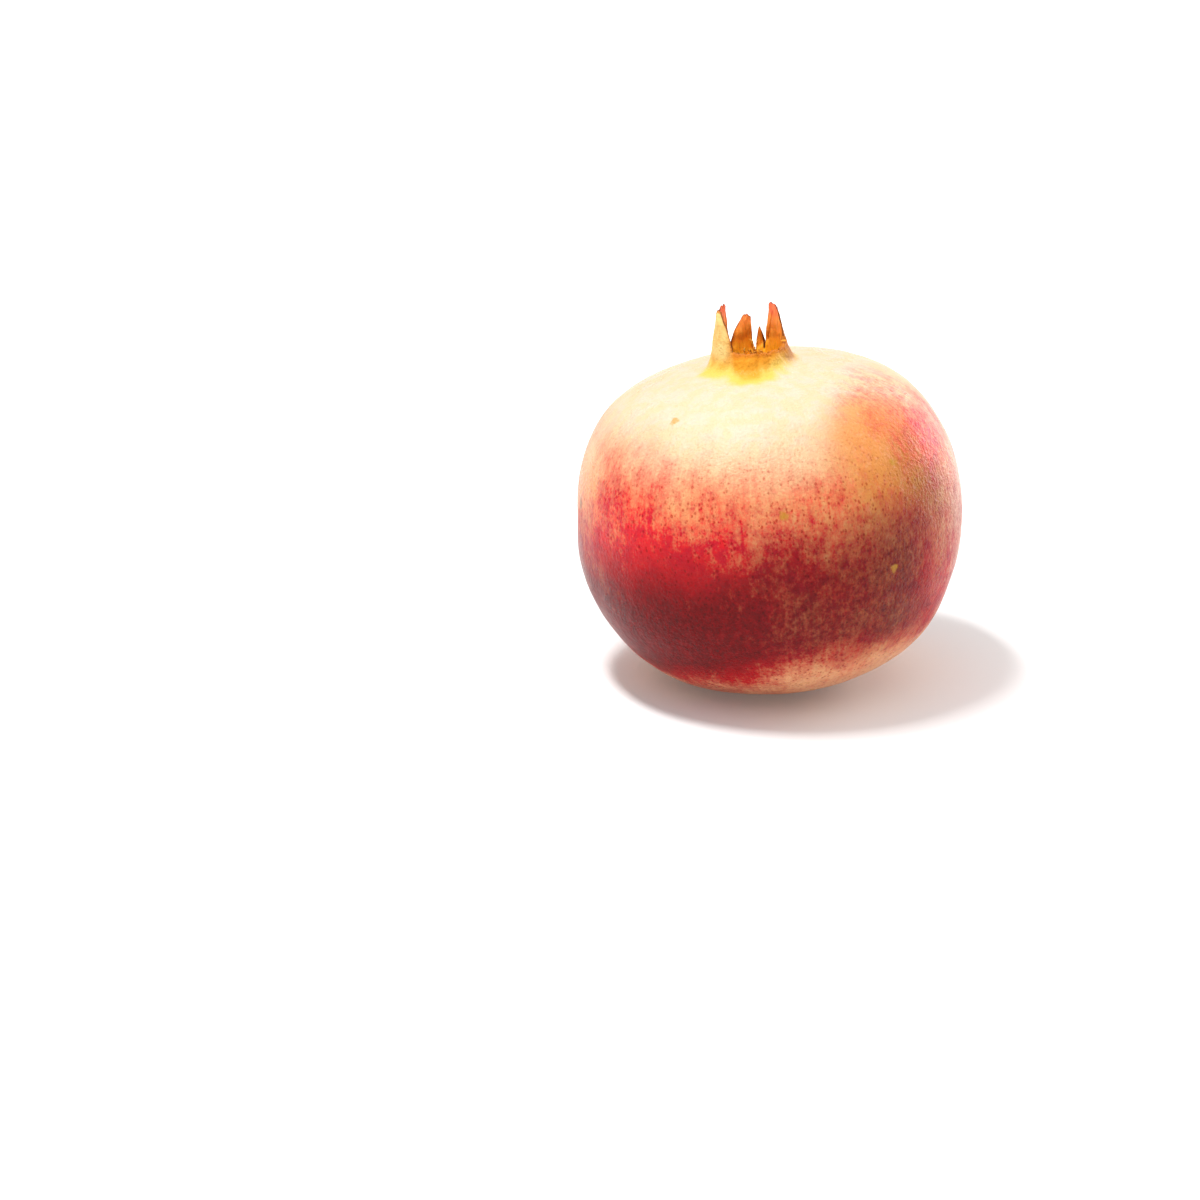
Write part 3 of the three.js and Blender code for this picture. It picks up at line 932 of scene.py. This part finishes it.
    # Yellow-green russet spots and one brown scab
    jitter = g.vector("SUBTRACT", g.noise(place_mm, 1.5, 2, 0.6, "Color"), (0.5, 0.5, 0.5))
    near = g.vector("NORMALIZE", g.vector("ADD", place_mm, g.scaled(jitter, 2.6)))
    for azimuth, from_crown, size in RUSSET_SPOTS:
        spot = patch(g, near, azimuth, from_crown, size, 0.1)
        spot = g.math("MULTIPLY", spot, g.between(grains, 0.3, 0.6, 0.35, 0.8))
        skin = g.mix(spot, skin, colour("BC8A2C"))
    scab = patch(g, near, 193, 79, 2.2, 0.4)
    skin = g.mix(g.math("MULTIPLY", scab, 0.8), skin, colour("8A5630"))

    # The calyx: a bright yellow foot, then ochre and orange up the tube, and dry brown edges
    tube_place = g.vector("ADD", place_mm, (-SHIFT, 0, 0))
    from_tube = g.vector("ADD", tube_place, g.scaled(drift, 14.0))
    crown_radius = g.vector("LENGTH", g.vector("MULTIPLY", from_tube, (1.3, 1, 0)))
    above = g.between(split.outputs["Z"], 20, 30)
    around_tube = g.vector("NORMALIZE", g.vector("MULTIPLY", tube_place, (1, 1, 0)))
    scallop = g.math("SUBTRACT", g.noise(g.scaled(around_tube, 8.0), 3.2, 2, 0.5), 0.5)
    crown_radius = g.math("MULTIPLY_ADD", scallop, 9.0, crown_radius)
    collar = g.math("MULTIPLY", g.between(crown_radius, 17.8, 12.8), above)
    skin = g.mix(g.math("MULTIPLY", collar, 0.85), skin, colour("E0B840"))
    warm = g.math("MULTIPLY", g.between(crown_radius, 12.8, 9.8), above)
    skin = g.mix(g.math("MULTIPLY", warm, 0.85), skin, colour("DC9018"))
    rise = g.mask("rise")
    # Painted light: the tube's side that faces the overhead softbox is paled to cream
    painted_lit_side = patch(g, around_tube, 197, 90, 50, 0.6)
    tube_colour = g.mix(g.between(mottle, 0.42, 0.62), colour("E08A1C"), colour("D07A1C"))
    lit_side_cream = g.mix(g.between(mottle, 0.42, 0.62, 0.0, 0.5), colour("E6C47C"), colour("DCA04A"))
    tube_colour = g.mix(painted_lit_side, tube_colour, lit_side_cream)
    skin = g.mix(g.between(rise, 0.1, 0.36), skin, tube_colour)
    brown_side = g.math("MULTIPLY", patch(g, around_tube, 8, 90, 52), g.between(rise, 0.03, 0.14))
    skin = g.mix(g.math("MULTIPLY", brown_side, 0.85), skin, colour("A8601C"))
    edge = g.mask("edge")
    skin = g.mix(g.between(edge, 0.1, 0.35, 0.0, 0.8), skin, colour("C06C18"))
    worn = g.between(g.math("MULTIPLY_ADD", g.math("SUBTRACT", grains, 0.5), 1.6, edge), 0.62, 1.0)
    skin = g.mix(g.math("MULTIPLY", worn, 0.85), skin, colour("6B3216"))

    # Brown cork round the stalk
    cork = g.mask("cork")
    corky = g.between(g.math("MULTIPLY_ADD", g.math("SUBTRACT", mottle, 0.5), 0.9, cork), 0.2, 0.6)
    skin = g.mix(g.math("MULTIPLY", corky, 0.8), skin, colour("7E5230"))

    pores = g.bump(g.noise(place_mm, 0.8, 3, 0.6), 0.8, 0.0004)
    wrinkles = g.noise(g.vector("MULTIPLY", place_mm, (1, 1, 0.5)), 2.2, 3, 0.6)
    wrinkled = g.bump(wrinkles, 0.4, 0.0005, pores)
    leather = g.bump(mottle, 0.4, 0.0006, wrinkled)
    lined = g.bump(streaks, 0.18, 0.0002, leather)
    gloss = g.between(clouds, 0.3, 0.7, 0.26, 0.36)
    dry = g.math("MAXIMUM", corky, worn)
    dry = g.math("MAXIMUM", dry, g.between(rise, 0.02, 0.15, 0.0, 0.75))
    dull = g.math("MAXIMUM", gloss, g.math("MULTIPLY", dry, 0.8))
    return g.finish(skin, dull, lined, Specular_IOR_Level=0.14)


def lining_material(shift):
    """The inner faces of the calyx and the torn rim: orange above, dry ochre-brown below, and
    painted shade towards the floor of the cup.
    """
    g = Graph("calyx_lining")
    place_mm = axis_place(g, shift)
    tube_place = g.vector("ADD", place_mm, (-SHIFT, 0, 0))
    around_tube = g.vector("NORMALIZE", g.vector("MULTIPLY", tube_place, (1, 1, 0)))
    along_tube = g.vector("MULTIPLY", place_mm, (0, 0, 0.16))
    fibre_place = g.vector("ADD", g.scaled(around_tube, 8.0), along_tube)
    fibres = g.noise(fibre_place, 0.45, 3, 0.6)
    blotches = g.noise(place_mm, 2.2, 3, 0.6)
    fine = g.noise(place_mm, 0.6, 3, 0.6)
    rise = g.mask("rise")
    level = g.math("MULTIPLY_ADD", g.math("SUBTRACT", blotches, 0.5), 0.3, rise)
    base = g.mix(g.between(level, 0.1, 0.32), colour("F0AC20"), colour("F29C2A"))
    base = g.mix(g.between(level, 0.36, 0.6), base, colour("FF9A48"))
    base = g.mix(g.between(level, 0.6, 0.9), base, colour("FA7450"))
    band = g.math("MULTIPLY", g.between(level, 0.28, 0.36), g.between(level, 0.5, 0.38))
    base = g.mix(g.math("MULTIPLY", band, 0.45), base, colour("B8561C"))
    base = g.mix(g.between(fibres, 0.54, 0.72, 0.0, 0.4), base, colour("A85A20"))
    base = g.mix(g.between(fibres, 0.46, 0.34, 0.0, 0.35), base, colour("FFC060"))
    height = g.node("ShaderNodeSeparateXYZ", {0: place_mm}).outputs["Z"]
    # Painted shade: darker brown towards the floor of the cup
    painted_shade = g.between(height, 38, 35)
    base = g.mix(g.math("MULTIPLY", painted_shade, 0.5), base, colour("A06414"))
    edge = g.mask("edge")
    worn = g.between(g.math("MULTIPLY_ADD", g.math("SUBTRACT", blotches, 0.5), 1.6, edge), 0.6, 1.0)
    low_edge = g.math("MULTIPLY", g.between(edge, 0.1, 0.35, 0.0, 0.85), g.between(rise, 0.48, 0.36))
    base = g.mix(low_edge, base, colour("B4661A"))
    base = g.mix(g.math("MULTIPLY", worn, 0.8), base, colour("5E2A12"))
    # Partly painted shade and partly a brown stain: near-black brown in the clefts and the fold,
    # where the cleft mask is high
    base = g.mix(g.between(g.mask("cleft"), 0.35, 0.85), base, colour("4A1E0C"))
    grain = g.bump(fibres, 0.5, 0.0003, g.bump(fine, 0.4, 0.0002))
    return g.finish(base, 0.66, grain, Specular_IOR_Level=0.2)


def stalk_material(shift):
    """The cut end of the stalk: grey-brown wood with rings and splits."""
    g = Graph("stalk_wood")
    place_mm = axis_place(g, shift)
    radius = g.vector("LENGTH", g.vector("MULTIPLY", place_mm, (1, 1, 0)))
    wobble = g.noise(place_mm, 1.1, 3, 0.6)
    rings = g.math("SINE", g.math("MULTIPLY_ADD", radius, 9.0, g.math("MULTIPLY", wobble, 8.0)))
    fine = g.noise(place_mm, 0.25, 3, 0.65)
    base = g.mix(g.between(rings, -0.6, 0.8), colour("6E4A2C"), colour("A98558"))
    base = g.mix(g.between(fine, 0.5, 0.68, 0.0, 0.7), base, colour("4A2E1A"))
    base = g.mix(g.between(radius, 0.9, 0.3, 0.0, 0.8), base, colour("3B2415"))
    grain = g.bump(rings, 0.35, 0.0002, g.bump(fine, 0.6, 0.0002))
    return g.finish(base, 0.85, grain, Specular_IOR_Level=0.25)


def object_place(graph):
    """Millimetres in the frame, as a vector."""
    return graph.scaled(graph.node("ShaderNodeTexCoord", {}).outputs["Object"], 1 / MM)


def thread_material():
    """The stamens' threads, their dish and the style: dry golden fibre."""
    g = Graph("dried_filament")
    place_mm = object_place(g)
    tint = g.noise(place_mm, 1.6, 2, 0.6)
    fine = g.noise(place_mm, 0.3, 2, 0.6)
    base = g.mix(g.between(tint, 0.36, 0.6), colour("E09A20"), colour("FFC848"))
    base = g.mix(g.between(fine, 0.52, 0.7, 0.0, 0.5), base, colour("9A5C16"))
    return g.finish(base, 0.75, g.bump(fine, 0.5, 0.0001), Specular_IOR_Level=0.3)


def anther_material():
    """Shrunken anthers with crumbs of pale pollen."""
    g = Graph("dried_anther")
    place_mm = object_place(g)
    tint = g.noise(place_mm, 1.2, 2, 0.6)
    fine = g.noise(place_mm, 0.22, 3, 0.6)
    base = g.mix(g.between(tint, 0.38, 0.6), colour("B8781C"), colour("E0A838"))
    base = g.mix(g.between(fine, 0.48, 0.66, 0.0, 0.7), base, colour("D6B06A"))
    return g.finish(base, 0.85, g.bump(fine, 0.8, 0.00015), Specular_IOR_Level=0.25)


# The studio

FLOOR_SIZE = 6

# How the surroundings brighten along an axis: from and to where, and how dim and bright
WORLD_RAMPS = [("Z", 0, 0.8, 0.26, 0.6), ("Y", -0.7, 0.7, 0.7, 1.3)]

# The camera, in metres and with its lens and sensor in millimetres
CAMERA_PLACE = Vector((0, -0.85595, 0.31912))
CAMERA_AIM = Vector((-0.04256, -0.00639, 0.02134))
CAMERA_LENS = 106.2
CAMERA_SENSOR = 36


def facing(place, aim):
    """A matrix that stands at a place and looks at another."""
    return Matrix.Translation(place) @ (aim - place).to_track_quat("-Z", "Y").to_matrix().to_4x4()


def add_camera():
    data = bpy.data.cameras.new("camera")
    data.lens = CAMERA_LENS
    data.sensor_width = CAMERA_SENSOR
    data.clip_start = 0.05
    camera = bpy.data.objects.new("camera", data)
    camera.matrix_world = facing(CAMERA_PLACE, CAMERA_AIM)
    bpy.context.scene.collection.objects.link(camera)
    bpy.context.scene.camera = camera


# Softboxes: place, aim, size in metres and power in watts
OVERHEAD = ((-0.22, -0.1, 0.8), (-0.01, 0, 0.05), (0.24, 0.09), 6.6)
RIGHT_RIM = ((0.64, 0.6, 0.2), (0, 0, 0.05), (0.5, 0.5), 5.5)

# The ceiling's soft light: strength, and its spread and tilt in degrees
CEILING_STRENGTH = 0.82
CEILING_SPREAD = 60
CEILING_TILT = 28


def add_softbox(name, place, aim, size, power):
    data = bpy.data.lights.new(name, "AREA")
    data.shape = "RECTANGLE"
    data.size, data.size_y = size
    data.energy = power
    light = bpy.data.objects.new(name, data)
    light.matrix_world = facing(Vector(place), Vector(aim))
    bpy.context.scene.collection.objects.link(light)


def add_ceiling():
    """Even soft light from above, a little from the front."""
    data = bpy.data.lights.new("ceiling", "SUN")
    data.energy = CEILING_STRENGTH
    data.angle = math.radians(CEILING_SPREAD)
    light = bpy.data.objects.new("ceiling", data)
    light.rotation_euler.x = math.radians(CEILING_TILT)
    bpy.context.scene.collection.objects.link(light)


def add_floor():
    """A pale floor that brightens to white away from the fruit."""
    half = FLOOR_SIZE / 2
    mesh = bpy.data.meshes.new("floor")
    corners = [(-half, -half, 0), (half, -half, 0), (half, half, 0), (-half, half, 0)]
    mesh.from_pydata(corners, [], [(0, 1, 2, 3)])
    g = Graph("pale_floor")
    place_m = g.node("ShaderNodeTexCoord", {}).outputs["Object"]
    tint = g.mix(g.noise(place_m, 0.4, 2), colour("DFDFDE"), colour("E2E2E2"))
    g.feed(g.shader.inputs["Base Color"], tint)
    away = g.vector("LENGTH", place_m)
    g.shader.inputs["Emission Color"].default_value = (1, 1, 1, 1)
    g.feed(g.shader.inputs["Emission Strength"], g.between(away, 0.03, 0.3, 0.08, 0.55))
    g.shader.inputs["Roughness"].default_value = 0.7
    g.shader.inputs["Specular IOR Level"].default_value = 0.2
    mesh.materials.append(g.material)
    floor = bpy.data.objects.new("floor", mesh)
    bpy.context.scene.collection.objects.link(floor)


def add_world():
    """Pale surroundings: brightest overhead and behind, dimmer low down on the viewer's side."""
    world = bpy.data.worlds.new("studio")
    world.use_nodes = True
    tree = world.node_tree
    heading = tree.nodes.new("ShaderNodeTexCoord").outputs["Generated"]
    split = tree.nodes.new("ShaderNodeSeparateXYZ")
    tree.links.new(heading, split.inputs[0])
    shares = []
    for axis, *limits in WORLD_RAMPS:
        step = tree.nodes.new("ShaderNodeMapRange")
        for key, value in zip(("From Min", "From Max", "To Min", "To Max"), limits):
            step.inputs[key].default_value = value
        tree.links.new(split.outputs[axis], step.inputs["Value"])
        shares.append(step.outputs["Result"])
    strength = tree.nodes.new("ShaderNodeMath")
    strength.operation = "MULTIPLY"
    for socket, share in zip(strength.inputs, shares):
        tree.links.new(share, socket)
    seen = tree.nodes.new("ShaderNodeMath")
    seen.operation = "MAXIMUM"
    tree.links.new(strength.outputs[0], seen.inputs[0])
    tree.links.new(tree.nodes.new("ShaderNodeLightPath").outputs["Is Camera Ray"], seen.inputs[1])
    background = tree.nodes["Background"]
    background.inputs["Color"].default_value = (1, 1, 1, 1)
    tree.links.new(seen.outputs[0], background.inputs["Strength"])
    bpy.context.scene.world = world


def add_studio():
    """A softbox overhead on the left and one behind on the right, in pale surroundings."""
    bpy.context.scene.view_settings.view_transform = "Standard"
    add_world()
    add_softbox("overhead", *OVERHEAD)
    add_ceiling()
    add_softbox("right_rim", *RIGHT_RIM)
    add_floor()


add_camera()
add_studio()

rind_surface = rind_shell()
rest = rest_shift(rind_surface)
place(rind_surface, rest)
rind = rind_surface.piece("rind", [rind_material(rest), lining_material(rest), stalk_material(rest)])
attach(rind, "root")
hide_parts("fruit")

stamens_surface = stamens_shell()
place(stamens_surface, rest)
stamens = stamens_surface.piece("dried_stamens", [thread_material(), anther_material()])
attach(stamens, "root")
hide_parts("stamens")
